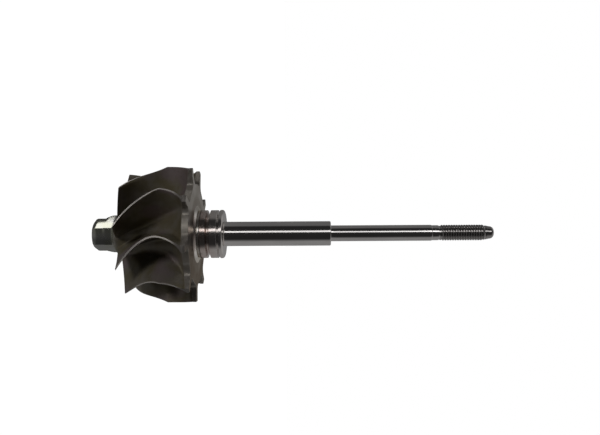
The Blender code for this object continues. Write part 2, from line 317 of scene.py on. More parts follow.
def half_thickness(share, height_share):
    """Give half a blade's thickness along its length and height."""
    full = mix(BLADE_ROOT_THICKNESS, BLADE_TIP_THICKNESS, height_share)
    thin = TRAILING_THINNING * max(1.0 - share / TRAILING_THIN_SHARE, 0.0)
    return full * (1.0 - thin) / 2


def fillet_radius(share):
    """Give the radius of the root fillet along a blade."""
    if share < TRAILING_THIN_SHARE:
        return mix(FILLET_AT_TRAILING_EDGE, FILLET_AT_MIDDLE, share / TRAILING_THIN_SHARE)
    rest = (share - TRAILING_THIN_SHARE) / (1.0 - TRAILING_THIN_SHARE)
    return mix(FILLET_AT_MIDDLE, FILLET_AT_DISC, rest ** 2)


def flare_share(share):
    """Give how far a blade has widened into its disc tab, from 0 to 1."""
    before_disc = (1.0 - share) * (RIM_FRONT - TRAILING_TIP_Z)
    if before_disc >= TAB_FLARE_LENGTH:
        return 0.0
    return 1.0 - math.sqrt(1.0 - (1.0 - before_disc / TAB_FLARE_LENGTH) ** 2)


def back_z(radius):
    """Give the height of the disc's slightly coned back face at a radius."""
    share = (LEADING_RADIUS - radius) / (LEADING_RADIUS - BACK_CONE_RADIUS)
    return mix(RIM_BACK, BACK_CONE_Z, share)


# Fine mesh of the casting

def side_profile(share, inset):
    """Give one blade side at a station, from its edge down to the hub.

    Each entry has radius, height and the distance round the axis from the
    blade's middle surface. The first two entries are the edge's small bevel.
    An inset takes the sides inward, less so at the blade's tip.
    """
    hub_z, hub_radius = hub_point(mix(HUB_START_SHARE, HUB_END_SHARE, share))
    edge_z = mix(TRAILING_TIP_Z, RIM_FRONT, share)
    edge_radius = shroud_radius(edge_z)
    length = math.hypot(edge_z - hub_z, edge_radius - hub_radius)
    fillet = fillet_radius(share)
    heights = [(length, -EDGE_BEVEL)]
    top = length - EDGE_BEVEL
    heights += [(mix(top, fillet, row / SIDE_ROWS), 0.0) for row in range(SIDE_ROWS)]
    for row in range(FILLET_ROWS + 1):
        turn = math.pi / 2 * row / FILLET_ROWS
        heights.append((fillet * (1.0 - math.sin(turn)), fillet * (1.0 - math.cos(turn))))
    profile = []
    for height, extra in heights:
        height_share = height / length
        z = mix(hub_z, edge_z, height_share)
        radius = mix(hub_radius, edge_radius, height_share)
        blade = half_thickness(share, height_share) * slant(z, radius)
        widened = mix(blade, TAB_HALF_WIDTH, flare_share(share))
        inset_share = min(1.0, (length - height) / length * TRAILING_BEVEL_GROWTH)
        inset_share = max(inset_share, TRAILING_BEVEL_AT_TIP)
        profile.append((radius, z, widened + extra - inset * inset_share))
    return profile


def passage_section(share, sector, inset=0.0):
    """Give the U-shaped section of one passage, from blade edge to blade edge."""
    pitch = 360.0 / BLADE_COUNT
    near = []
    far = []
    for radius, z, offset in side_profile(share, inset):
        spread = math.degrees(offset / radius)
        near.append((radius, pitch * sector + blade_angle(z) + spread, z))
        far.append((radius, pitch * (sector + 1) + blade_angle(z) - spread, z))
    radius, start, z = near[-1]
    floor = [(radius, mix(start, far[-1][1], row / FLOOR_ROWS), z) for row in range(1, FLOOR_ROWS)]
    return near + floor + far[::-1]


def stations():
    """Give the shares of a blade's length at which it has a section."""
    length = RIM_FRONT - TRAILING_TIP_Z
    kink = (LEADING_START_Z - TRAILING_TIP_Z) / length
    flare = 1.0 - TAB_FLARE_LENGTH / length
    first = EDGE_BEVEL / length
    shares = [mix(first, kink, step / EXIT_STATIONS) for step in range(EXIT_STATIONS)]
    shares += [mix(kink, flare, step / LEADING_STATIONS) for step in range(LEADING_STATIONS)]
    shares += [mix(flare, 1.0, (step / FLARE_STATIONS) ** FLARE_SPACING_POWER)
               for step in range(FLARE_STATIONS)]
    return shares


def into_material(points):
    """Give, for each point of a scallop's outline, the flat direction into the casting."""
    directions = []
    last = len(points) - 1
    for index in range(len(points)):
        before = points[max(index - 1, 0)]
        after = points[min(index + 1, last)]
        along = Vector((after.x - before.x, after.y - before.y, 0.0))
        directions.append(Vector((-along.y, along.x, 0.0)).normalized())
    return directions


def passage_rows(sector):
    """Give all rows of points of one passage, from the trailing edges to the back face."""
    rows = [[polar(*point) for point in passage_section(0.0, sector, EDGE_BEVEL)]]
    for share in stations():
        rows.append([polar(*point) for point in passage_section(share, sector)])
    outline = [polar(*point) for point in passage_section(1.0, sector)]
    inward = into_material(outline)
    bevel = DISC_BEVEL * MM
    rows.append([point + push * bevel for point, push in zip(outline, inward)])
    rows.append([point + Vector((0.0, 0.0, bevel)) for point in outline])
    back = []
    for point in outline:
        radius = math.hypot(point.x, point.y) / MM
        back.append(Vector((point.x, point.y, back_z(radius) * MM)))
    rows.append([point - Vector((0.0, 0.0, bevel)) for point in back])
    rows.append([point + push * bevel for point, push in zip(back, inward)])
    return rows


def make_passages(maker):
    """Make blades, hub and disc edge; give the open rings at both ends."""
    grids = [[[maker.verts.new(point) for point in row] for row in passage_rows(sector)]
             for sector in range(BLADE_COUNT)]
    columns = len(grids[0][0])
    root = SIDE_ROWS + FILLET_ROWS + 1
    front_ring = []
    back_ring = []
    for sector in range(BLADE_COUNT):
        rows = grids[sector]
        following = grids[(sector + 1) % BLADE_COUNT]
        for lower, upper in zip(range(len(rows) - 1), range(1, len(rows))):
            for column in range(columns - 1):
                face = maker.faces.new((rows[lower][column], rows[lower][column + 1],
                                        rows[upper][column + 1], rows[upper][column]))
                in_rim = lower >= len(rows) - DISC_EDGE_ROWS
                face.material_index = RIM_SLOT if in_rim else CAST_SLOT
            edge = maker.faces.new((rows[lower][-1], following[lower][0],
                                    following[upper][0], rows[upper][-1]))
            edge.material_index = EDGE_SLOT
        for end in (0, -1):
            for step in range(root):
                rung = maker.faces.new((rows[end][-1 - step], following[end][step],
                                        following[end][step + 1], rows[end][-2 - step]))
                rung.material_index = EDGE_SLOT if end == 0 else BACK_SLOT
        front_ring += rows[0][root:columns - root]
        back_ring += rows[-1][root:columns - root]
    return front_ring, back_ring


def bridge(maker, lower, upper, material=0):
    """Join two closed rings of the same count with four-sided faces."""
    count = len(lower)
    for column in range(count):
        after = (column + 1) % count
        face = maker.faces.new((lower[column], lower[after], upper[after], upper[column]))
        face.material_index = material


def nose_end_point(angle, share):
    """Give the nose's outline between its flat end and the full hexagon."""
    apothem = HEX_ACROSS_FLATS / 2
    corner = apothem / math.cos(math.radians(HEX_HALF_PITCH))
    outline = hexagon_radius(angle)
    from_flat = min(max((outline - apothem) / (corner - apothem), 0.0), 1.0)
    height = mix(NOSE_ROUNDING_AT_FLATS, NOSE_ROUNDING_AT_CORNERS, from_flat)
    turn = share * math.pi / 2
    radius = mix(NOSE_FLAT_RADIUS, outline, math.sin(turn))
    return radius, angle, height * (1.0 - math.cos(turn))


def smooth(value, low, high):
    """Give a soft step from 0 at the low end to 1 at the high end."""
    share = min(max((value - low) / (high - low), 0.0), 1.0)
    return share * share * (3.0 - 2.0 * share)


def collar_blend_point(angle, share):
    """Give the nose's outline between the hexagon's top and the hub.

    Three of the flats reach further into the collar than the others, and one
    half of each loses its crown there.
    """
    z = mix(HEX_TOP, LONG_FLAT_END_Z, share)
    rise = min((z - HEX_TOP) / (COLLAR_TOP - HEX_TOP), 1.0) ** (1.0 / COLLAR_BLEND_POWER)
    radius = mix(hexagon_radius(angle), COLLAR_RADIUS, math.sin(rise * math.pi / 2))
    end = smooth(z, LONG_FLAT_RUN_OUT_Z, LONG_FLAT_END_Z)
    settled = 1.0 - smooth(z, HEX_TOP, HEX_TOP + LONG_FLAT_SETTLING)
    for flat in LONG_FLAT_ANGLES:
        turn = (angle - flat + 180.0) % 360.0 - 180.0
        if abs(turn) < HEX_PITCH:
            bow = 1.0 if turn > 0.0 else settled
            plane = HEX_ACROSS_FLATS / 2 / math.cos(math.radians(turn))
            plane += HEX_CROWN * (1.0 - bow * (turn / HEX_HALF_PITCH) ** 2)
            radius = min(radius, mix(plane, COLLAR_RADIUS, end))
    return radius, angle, z


def make_nose(maker, front_ring):
    """Make the nose from its flat end up to the ring of the blades' roots."""
    columns = len(front_ring)
    step = 360.0 / columns
    start_z = hub_point(HUB_START_SHARE)[0]
    middle = blade_angle(start_z) + 180.0 / BLADE_COUNT
    first = middle - step * (columns / BLADE_COUNT - 1) / 2
    first += (HEX_CORNER_ANGLE - first + step / 2) % step - step / 2
    angles = [first + step * column for column in range(columns)]
    rings = []
    for row in range(ROUNDING_STEPS + 1):
        share = row / ROUNDING_STEPS
        rings.append([maker.verts.new(polar(*nose_end_point(angle, share))) for angle in angles])
    for share in HEX_ROW_SHARES:
        middle_ring = []
        for angle in angles:
            radius, turn, z = nose_end_point(angle, 1.0)
            middle_ring.append(maker.verts.new(polar(radius, turn, mix(z, HEX_TOP, share))))
        rings.append(middle_ring)
    for row in range(BLEND_STEPS + 1):
        share = (row / BLEND_STEPS) ** COLLAR_BLEND_POWER
        rings.append([maker.verts.new(polar(*collar_blend_point(angle, share))) for angle in angles])
    rings.append(front_ring)
    for lower, upper in zip(rings, rings[1:]):
        bridge(maker, lower, upper)
    maker.faces.new(rings[0])


def make_back(maker, back_ring):
    """Make the disc's back face, its collar and the weld face."""
    columns = len(back_ring)
    step = 360.0 / columns
    first = blade_angle(RIM_FRONT) + step / 2
    angles = [first + step * column for column in range(columns)]
    rings = [back_ring]
    for radius, z in ((BACK_RING_RADIUS, back_z(BACK_RING_RADIUS)), *BACK_OUTLINE):
        rings.append([maker.verts.new(polar(radius, angle, z)) for angle in angles])
    for lower, upper in zip(rings, rings[1:]):
        bridge(maker, lower, upper, BACK_SLOT)
    maker.faces.new(rings[-1])


def finish_mesh(name, maker, materials):
    """Turn a bmesh into a smooth-shaded object with its materials."""
    bmesh.ops.recalc_face_normals(maker, faces=maker.faces)
    mesh = bpy.data.meshes.new(name)
    maker.to_mesh(mesh)
    maker.free()
    for material in materials:
        mesh.materials.append(material)
    mesh.shade_smooth()
    mesh.set_sharp_from_angle(angle=math.radians(SHARP_ANGLE))
    result = bpy.data.objects.new(name, mesh)
    bpy.context.scene.collection.objects.link(result)
    return result


def make_casting(materials):
    """Make the wheel casting with its fine edges."""
    maker = bmesh.new()
    front_ring, back_ring = make_passages(maker)
    make_nose(maker, front_ring)
    make_back(maker, back_ring)
    return finish_mesh("wheel_casting", maker, materials)


# Turned shaft

def arc(z, radius, size, start, end):
    """Give points of an arc in the turned outline, as height and radius."""
    points = []
    for step in range(ARC_STEPS + 1):
        angle = math.radians(mix(start, end, step / ARC_STEPS))
        points.append((z + size * math.cos(angle), radius + size * math.sin(angle)))
    return points


def broken_edge(z, radius, steps):
    """Give the points of a small edge from their steps in height and radius."""
    return [(z + rise, radius + out) for rise, out in steps]


def plain_rings(start, count, radius):
    """Give evenly spaced points of a plain stretch, so that its shading stays even."""
    return [(start + step * PLAIN_RING_SPACING, radius) for step in range(count)]


def boss_outline():
    """Give the boss's turned outline: land, round groove, land, ring groove, flange."""
    points = [(SHAFT_START_Z, BOSS_LAND_RADIUS), (FIRST_LAND_Z, BOSS_LAND_RADIUS)]
    half = (SECOND_LAND_Z - FIRST_LAND_END_Z) / 2
    depth = BOSS_LAND_RADIUS - OIL_GROOVE_RADIUS
    for step in range(OIL_GROOVE_STEPS + 1):
        share = 2 * step / OIL_GROOVE_STEPS - 1.0
        drop = depth * (1.0 - abs(share) ** OIL_GROOVE_POWER)
        points.append((OIL_GROOVE_Z + share * half, BOSS_LAND_RADIUS - drop))
    points += [(SEAL_GROOVE_Z - BOSS_LIP, BOSS_LAND_RADIUS),
               (SEAL_GROOVE_Z, BOSS_LAND_RADIUS - BOSS_LIP)]
    points += [(SEAL_GROOVE_Z, SEAL_GROOVE_RADIUS), (SEAL_GROOVE_END_Z, SEAL_GROOVE_RADIUS)]
    points += [(SEAL_GROOVE_END_Z, FLANGE_RADIUS - BOSS_LIP),
               (SEAL_GROOVE_END_Z + BOSS_LIP, FLANGE_RADIUS)]
    points += arc(FLANGE_END_Z - FLANGE_CORNER, FLANGE_RADIUS - FLANGE_CORNER, FLANGE_CORNER, 90, 0)
    points += [(FLANGE_END_Z, FLANGE_FACE_RADIUS)]
    points += arc(FLANGE_END_Z + JOURNAL_FILLET, JOURNAL_RADIUS + JOURNAL_FILLET,
                  JOURNAL_FILLET, 180, 270)
    return points


def journal_outline():
    """Give the ground journal's outline up to its shoulder."""
    points = plain_rings(JOURNAL_RINGS_START_Z, JOURNAL_RINGS, JOURNAL_RADIUS)
    points += broken_edge(JOURNAL_END_Z, JOURNAL_RADIUS, JOURNAL_EDGE)
    points.append((JOURNAL_END_Z, STUB_RADIUS + SHOULDER_FILLET))
    return points


def stub_outline():
    """Give the stub's outline up to the thread's first root."""
    points = broken_edge(JOURNAL_END_Z, STUB_RADIUS, SHOULDER_ROOT)
    points += plain_rings(STUB_RINGS_START_Z, STUB_RINGS, STUB_RADIUS)
    points += broken_edge(STUB_END_Z, STUB_RADIUS, STUB_EDGE)
    points += broken_edge(STUB_END_Z, RELIEF_RADIUS, RELIEF_START)
    points += broken_edge(RELIEF_END_Z, RELIEF_RADIUS, RELIEF_EDGE)
    points.append((RELIEF_END_Z, THREAD_ROOT_RADIUS + THREAD_START_STEP))
    return points


def tip_outline(thread_end):
    """Give the plain end beyond the thread, tapered and rounded."""
    start = thread_end + TIP_START_CHAMFER
    return [(thread_end, THREAD_ROOT_RADIUS), (start, TIP_START_RADIUS), *TIP_OUTLINE]


def turned(maker, outline, material=0):
    """Add one ring for each height and radius of a turned outline."""
    rings = []
    for z, radius in outline:
        rings.append([maker.verts.new(polar(radius, 360.0 * column / SHAFT_COLUMNS, z))
                      for column in range(SHAFT_COLUMNS)])
    for lower, upper in zip(rings, rings[1:]):
        bridge(maker, lower, upper, material)
    return rings


def thread_height(share):
    """Give the thread's form over one pitch, 0 at the root and 1 at the crest."""
    from_crest = abs(share - 0.5)
    return min(max((THREAD_ROOT_SHARE - from_crest) / THREAD_FLANK_SHARE, 0.0), 1.0)


def make_thread(maker, first_ring, last_ring, start, material):
    """Make the helical thread between two plain rings."""
    total = THREAD_ROWS * THREAD_TURNS
    rows = []
    for row in range(total + 1):
        ring = []
        for column in range(SHAFT_COLUMNS):
            turn = row / THREAD_ROWS + column / SHAFT_COLUMNS
            fade = min(turn, THREAD_TURNS + 1 - turn, 1.0)
            height = thread_height(row / THREAD_ROWS % 1.0) * fade
            radius = mix(THREAD_ROOT_RADIUS, THREAD_CREST_RADIUS, height)
            ring.append(maker.verts.new(polar(radius, 360.0 * column / SHAFT_COLUMNS,
                                              start + THREAD_PITCH * turn)))
        rows.append(ring)
    last = SHAFT_COLUMNS - 1
    faces = []
    for row in range(total):
        for column in range(last):
            faces.append((rows[row][column], rows[row][column + 1],
                          rows[row + 1][column + 1], rows[row + 1][column]))
    for row in range(total - THREAD_ROWS):
        above = row + THREAD_ROWS
        faces.append((rows[row][last], rows[above][0], rows[above + 1][0], rows[row + 1][last]))
    for column in range(last):
        faces.append((first_ring[column], first_ring[column + 1],
                      rows[0][column + 1], rows[0][column]))
        faces.append((rows[-1][column], rows[-1][column + 1],
                      last_ring[column + 1], last_ring[column]))
    faces.append((first_ring[last], first_ring[0], rows[0][0]))
    for row in range(THREAD_ROWS):
        faces.append((first_ring[last], rows[row][0], rows[row + 1][0]))
        faces.append((rows[total - THREAD_ROWS + row][last], last_ring[0],
                      rows[total - THREAD_ROWS + row + 1][last]))
    faces.append((first_ring[last], rows[THREAD_ROWS][0], rows[0][last]))
    faces.append((rows[total - THREAD_ROWS][last], rows[total][0], last_ring[0]))
    faces.append((rows[total][last], last_ring[0], last_ring[last]))
    for corners in faces:
        maker.faces.new(corners).material_index = material


def make_shaft(materials):
    """Make the shaft from its weld face to its threaded end."""
    maker = bmesh.new()
    boss = turned(maker, boss_outline(), BOSS_SLOT)
    journal = turned(maker, journal_outline(), GROUND_SLOT)
    bridge(maker, boss[-1], journal[0], GROUND_SLOT)
    stub = turned(maker, stub_outline(), GROUND_SLOT)
    bridge(maker, journal[-1], stub[0], GROUND_SLOT)
    start = RELIEF_END_Z + THREAD_CLEAR
    end = start + THREAD_PITCH * (THREAD_TURNS + 1) + THREAD_CLEAR
    tip = turned(maker, tip_outline(end), THREAD_SLOT)
    make_thread(maker, stub[-1], tip[0], start, THREAD_SLOT)
    maker.faces.new(boss[0])
    maker.faces.new(tip[-1]).material_index = THREAD_SLOT
    return finish_mesh("turned_shaft", maker, materials)


def make_weld(material):
    """Make the narrow seam of the friction weld between casting and boss."""
    maker = bmesh.new()
    rings = turned(maker, WELD_OUTLINE)
    bridge(maker, rings[-1], rings[0])
    return finish_mesh("weld_seam", maker, [material])


# Materials

class Shader:
    """A material whose nodes are added one after the other."""

    def __init__(self, name, metallic, roughness):
        self.material = bpy.data.materials.new(name)
        self.material.use_nodes = True
        self.nodes = self.material.node_tree.nodes
        self.links = self.material.node_tree.links
        self.surface = self.nodes["Principled BSDF"]
        self.surface.inputs["Metallic"].default_value = metallic
        self.surface.inputs["Roughness"].default_value = roughness
        self.place = self.nodes.new("ShaderNodeTexCoord").outputs["Object"]

    def put(self, socket, value):
        """Link the input to another node's output, or set it to a value."""
        if isinstance(value, bpy.types.NodeSocket):
            self.links.new(value, socket)
        else:
            socket.default_value = value

    def maths(self, operation, first, second=0.0):
        node = self.nodes.new("ShaderNodeMath")
        node.operation = operation
        self.put(node.inputs[0], first)
        self.put(node.inputs[1], second)
        return node.outputs[0]

    def stretched(self, x, y, z):
        """Give the place on the object with each axis scaled by its own factor."""
        node = self.nodes.new("ShaderNodeVectorMath")
        node.operation = "MULTIPLY"
        self.put(node.inputs[0], self.place)
        node.inputs[1].default_value = (x, y, z)
        return node.outputs[0]

    def noise(self, scale, detail=2.0, roughness=0.5, vector=None):
        node = self.nodes.new("ShaderNodeTexNoise")
        node.inputs["Scale"].default_value = scale
        node.inputs["Detail"].default_value = detail
        node.inputs["Roughness"].default_value = roughness
        self.put(node.inputs["Vector"], vector if vector is not None else self.place)
        return node.outputs["Fac"]

    def span(self, value, low, high, start=0.0, end=1.0):
        """Give a soft step from one number to another while a value passes two limits."""
        node = self.nodes.new("ShaderNodeMapRange")
        node.interpolation_type = "SMOOTHSTEP"
        self.put(node.inputs["Value"], value)
        node.inputs["From Min"].default_value = low
        node.inputs["From Max"].default_value = high
        node.inputs["To Min"].default_value = start
        node.inputs["To Max"].default_value = end
        return node.outputs["Result"]

    def span_mm(self, value, limits, start=0.0, end=1.0):
        """Give a soft step while a length passes two limits in millimetres."""
        return self.span(value, limits[0] * MM, limits[1] * MM, start, end)

    def blend(self, share, first, second):
        """Blend two colours, from the first at share 0 to the second at share 1."""
        node = self.nodes.new("ShaderNodeMix")
        node.data_type = "RGBA"
        self.put(node.inputs["Factor"], share)
        sockets = [socket for socket in node.inputs if socket.type == "RGBA"]
        for socket, value in zip(sockets, (first, second)):
            self.put(socket, value if isinstance(value, bpy.types.NodeSocket) else (*value, 1.0))
        return [socket for socket in node.outputs if socket.type == "RGBA"][0]

    def blend_value(self, share, first, second):
        """Blend two numbers, from the first at share 0 to the second at share 1."""
        node = self.nodes.new("ShaderNodeMix")
        self.put(node.inputs[0], share)
        self.put(node.inputs[2], first)
        self.put(node.inputs[3], second)
        return node.outputs[0]

    def bump(self, height, distance, strength=1.0, normal=None):
        node = self.nodes.new("ShaderNodeBump")
        node.inputs["Strength"].default_value = strength
        node.inputs["Distance"].default_value = distance
        self.put(node.inputs["Height"], height)
        if normal is not None:
            self.put(node.inputs["Normal"], normal)
        return node.outputs["Normal"]

    def axis(self):
        """Give height and distance from the axis, in metres."""
        node = self.nodes.new("ShaderNodeSeparateXYZ")
        self.put(node.inputs[0], self.place)
        x, y, z = node.outputs
        squares = self.maths("ADD", self.maths("MULTIPLY", x, x), self.maths("MULTIPLY", y, y))
        return z, self.maths("SQRT", squares)

    def turning(self, scale):
        """Give noise that runs round the axis, like the marks of a lathe."""
        z, radius = self.axis()
        node = self.nodes.new("ShaderNodeCombineXYZ")
        self.put(node.inputs[2], self.maths("ADD", z, radius))
        return self.noise(scale, detail=3.0, roughness=0.6, vector=node.outputs[0])

    def set(self, name, value):
        self.put(self.surface.inputs[name], value)


def cast_alloy():
    """Dark, brownish cast nickel alloy with a fine grain and cloudy tints, bare on the nose."""
    olive = (0.185, 0.158, 0.097)
    tan = (0.235, 0.212, 0.172)
    violet = (0.245, 0.19, 0.2)
    grain = (0.11, 0.095, 0.08)
    yellow_metal = (0.45, 0.45, 0.375)
    grey_metal = (0.49, 0.485, 0.46)
    made = Shader("cast_alloy_surface", metallic=0.5, roughness=0.4)
    cloud = made.noise(140.0, detail=4.0, roughness=0.6)
    speck = made.noise(900.0, detail=3.0, roughness=0.6)
    base = made.blend(made.span(cloud, 0.35, 0.65), olive, tan)
    tint = made.span(made.noise(75.0, detail=2.0), 0.48, 0.64, end=0.7)
    tinted = made.blend(tint, base, violet)
    grainy = made.blend(made.span(speck, 0.55, 0.75, end=0.25), tinted, grain)
    skin = made.span_mm(made.axis()[0], CAST_SKIN_Z)
    bare = made.blend(made.span(cloud, 0.4, 0.6), yellow_metal, grey_metal)
    made.set("Base Color", made.blend(skin, bare, grainy))
    made.set("Metallic", made.blend_value(skin, 0.965, 0.62))
    rough = made.span(cloud, 0.3, 0.7, start=0.32, end=0.42)
    made.set("Roughness", made.blend_value(skin, 0.09, rough))
    fine = made.bump(made.noise(3200.0, detail=3.0, roughness=0.6), distance=0.00002, strength=0.3)
    made.set("Normal", made.bump(cloud, distance=0.00015, strength=0.3, normal=fine))
    return made.material


def ground_edge():
    """Bright ground metal of the blades' outer edges, dull in stretches and near the disc."""
    grey = (0.56, 0.52, 0.47)
    bright = (0.95, 0.89, 0.82)
    dull = (0.24, 0.22, 0.2)
    dull_at_disc = (0.195, 0.178, 0.16)
    made = Shader("ground_edge_surface", metallic=0.35, roughness=0.35)
    ground = made.blend(made.noise(700.0, detail=3.0), grey, bright)
    dulled = made.span(made.noise(75.0, detail=2.0), 0.47, 0.62, end=0.5)
    ground = made.blend(dulled, ground, dull)
    near_disc = made.span_mm(made.axis()[0], DULL_EDGE_Z)
    made.set("Base Color", made.blend(near_disc, ground, dull_at_disc))
    made.set("Roughness", made.span(made.noise(500.0), 0.3, 0.7, start=0.3, end=0.5))
    made.set("Normal", made.bump(made.noise(2500.0, detail=3.0), distance=0.00003, strength=0.6))
    return made.material


def disc_back():
    """The disc's back and collar: cast metal with traces of turning, browner towards +X, and a
    painted ring of shade and dark reflection round the collar.
    """
    grey = (0.50, 0.485, 0.47)
    light_grey = (0.62, 0.605, 0.59)
    brown = (0.09, 0.05, 0.02)
    # Colour of the painted shade and dark reflection round the collar
    painted_shade = (0.22, 0.19, 0.16)
    bright = (0.80, 0.77, 0.74)
    worn_grey = (0.2, 0.18, 0.165)
    warm_gloss = (0.92, 0.87, 0.79, 1.0)
    made = Shader("disc_back_surface", metallic=1.0, roughness=0.38)
    marks = made.turning(5200.0)
    cloud = made.noise(160.0, detail=3.0)
    base = made.blend(made.span(cloud, 0.35, 0.65), grey, light_grey)
    # Darker and browner towards +X, the lower side in the picture, with a ragged border
    side = made.nodes.new("ShaderNodeSeparateXYZ")
    made.put(side.inputs[0], made.place)
    ragged = made.maths("MULTIPLY", cloud, BROWN_SIDE_RAGGEDNESS * MM)
    brown_side_place = made.maths("ADD", side.outputs[0], ragged)
    base = made.blend(made.span_mm(brown_side_place, BROWN_SIDE_X), base, brown)
    made.set("Specular Tint", warm_gloss)
    radius = made.axis()[1]
    # Painted shade: a darker ring round the collar stands in for the boss's shade and dark reflection
    base = made.blend(made.span_mm(radius, PAINTED_SHADE_RADIUS, start=0.6, end=0.0), base, painted_shade)
    collar = made.span_mm(radius, BRIGHT_COLLAR_RADIUS)
    base = made.blend(collar, base, bright)
    worn = made.span(marks, 0.4, 0.6, end=0.3)
    made.set("Base Color", made.blend(worn, base, worn_grey))
    rough = made.span(cloud, 0.3, 0.7, start=0.3, end=0.4)
    made.set("Roughness", made.blend_value(collar, rough, 0.2))
    made.set("Normal", made.bump(marks, distance=0.00003, strength=0.5))
    return made.material


def rim_metal():
    """Cut edge of the scalloped disc, brighter and with small glints."""
    cut = (0.27, 0.245, 0.21)
    glint = (0.38, 0.355, 0.32)
    made = Shader("disc_rim_surface", metallic=0.6, roughness=0.36)
    glinting = made.span(made.noise(420.0, detail=2.0), 0.45, 0.7)
    made.set("Base Color", made.blend(glinting, cut, glint))
    made.set("Roughness", made.span(made.noise(600.0), 0.35, 0.65, start=0.33, end=0.4))
    made.set("Normal", made.bump(made.noise(1100.0, detail=2.0), distance=0.00002, strength=0.25))
    return made.material


def weld_metal():
    """Dark, scaled metal of the weld seam."""
    scale_dark = (0.08, 0.06, 0.05)
    scale_light = (0.22, 0.17, 0.14)
    made = Shader("weld_seam_surface", metallic=1.0, roughness=0.5)
    scale = made.noise(900.0, detail=3.0)
    made.set("Base Color", made.blend(scale, scale_dark, scale_light))
    made.set("Normal", made.bump(made.noise(2200.0, detail=3.0), distance=0.00005, strength=0.7))
    return made.material


def boss_steel():
    """Turned steel of the boss with a brownish heat tint from the welding."""
    steel = (0.68, 0.66, 0.64)
    heat_brown = (0.52, 0.40, 0.36)
    heat_tan = (0.62, 0.54, 0.50)
    worn_steel = (0.36, 0.33, 0.31)
    made = Shader("boss_steel_surface", metallic=1.0, roughness=0.2)
    marks = made.turning(6500.0)
    heat = made.span_mm(made.axis()[0], HEAT_TINT_Z, start=1.0, end=0.3)
    cloud = made.noise(190.0, detail=3.0)
    tint = made.blend(made.span(cloud, 0.35, 0.7), heat_brown, heat_tan)
    base = made.blend(made.maths("MULTIPLY", heat, HEAT_TINT_SHARE), steel, tint)
    worn = made.span(marks, 0.45, 0.65, end=0.25)
    made.set("Base Color", made.blend(worn, base, worn_steel))
    made.set("Roughness", made.span(marks, 0.3, 0.7, start=0.14, end=0.22))
    made.set("Normal", made.bump(marks, distance=0.00002, strength=0.4))
    return made.material


def ground_steel():
    """Finely ground steel of the journal and the stub."""
    steel = (0.56, 0.54, 0.53)
    light_steel = (0.66, 0.64, 0.63)
    worn_steel = (0.42, 0.40, 0.39)
    made = Shader("ground_steel_surface", metallic=1.0, roughness=0.12)
    marks = made.turning(9000.0)
    drawn_out = made.stretched(1.0, 1.0, 0.25)
    smear = made.noise(160.0, detail=3.0, roughness=0.55, vector=drawn_out)
    base = made.blend(made.span(smear, 0.35, 0.7), steel, light_steel)
    worn = made.span(marks, 0.5, 0.75, end=0.15)
    made.set("Base Color", made.blend(worn, base, worn_steel))
    made.set("Roughness", made.span(marks, 0.3, 0.7, start=0.1, end=0.15))
    made.set("Normal", made.bump(marks, distance=0.000006, strength=0.2))
    return made.material


def thread_steel():
    """Cut steel of the thread, a little darker and rougher."""
    steel = (0.33, 0.315, 0.305)
    light_steel = (0.46, 0.44, 0.43)
    made = Shader("thread_steel_surface", metallic=1.0, roughness=0.25)
    marks = made.noise(1500.0, detail=3.0)
    made.set("Base Color", made.blend(marks, steel, light_steel))
    made.set("Roughness", made.span(marks, 0.3, 0.7, start=0.16, end=0.24))
    made.set("Normal", made.bump(marks, distance=0.00001, strength=0.3))
    return made.material


def floor_material():
    """Plain white table, bright enough to match the white surroundings."""
    made = Shader("floor_surface", metallic=0.0, roughness=0.9)
    made.set("Base Color", (0.92, 0.92, 0.92, 1.0))
    made.set("Emission Color", (1.0, 1.0, 1.0, 1.0))
    made.set("Emission Strength", 1.0)
    return made.material


# Studio

def make_floor():
    """Make the pale table under the nose, which the metal doesn't mirror."""
    maker = bmesh.new()
    half = FLOOR_HALF_WIDTH
    places = ((-half, -half), (half, -half), (half, half), (-half, half))
    maker.faces.new([maker.verts.new((x, y, 0.0)) for x, y in places])
    mesh = bpy.data.meshes.new("floor")
    maker.to_mesh(mesh)
    maker.free()
    mesh.materials.append(floor_material())
    floor = bpy.data.objects.new("floor", mesh)
    bpy.context.scene.collection.objects.link(floor)
    floor.visible_glossy = False
    floor.visible_diffuse = False
    floor.visible_shadow = False


def studio_point(right, up, near):
    """Turn a place in the picture's terms, in millimetres, into the row's frame."""
    return Vector((-up * MM, -near * MM, right * MM))


def soft_light(name, place, target, size, watts, colour=(1.0, 1.0, 1.0)):
    """Add a rectangular light at a place, its first side along the rotor's axis."""
    data = bpy.data.lights.new(name, "AREA")
    data.shape = "RECTANGLE"
    data.size = size[0] * MM
    data.size_y = size[1] * MM
    data.energy = watts
    data.color = colour
    light = bpy.data.objects.new(name, data)
    bpy.context.scene.collection.objects.link(light)
    location = studio_point(*place)
    back = (location - studio_point(*target)).normalized()
    side = Vector((0.0, 0.0, 1.0))
    side = (side - back * side.dot(back)).normalized()
    up = back.cross(side)
    columns = Matrix((side, up, back)).transposed()
    light.matrix_world = Matrix.Translation(location) @ columns.to_4x4()
    light.visible_camera = False
    return light


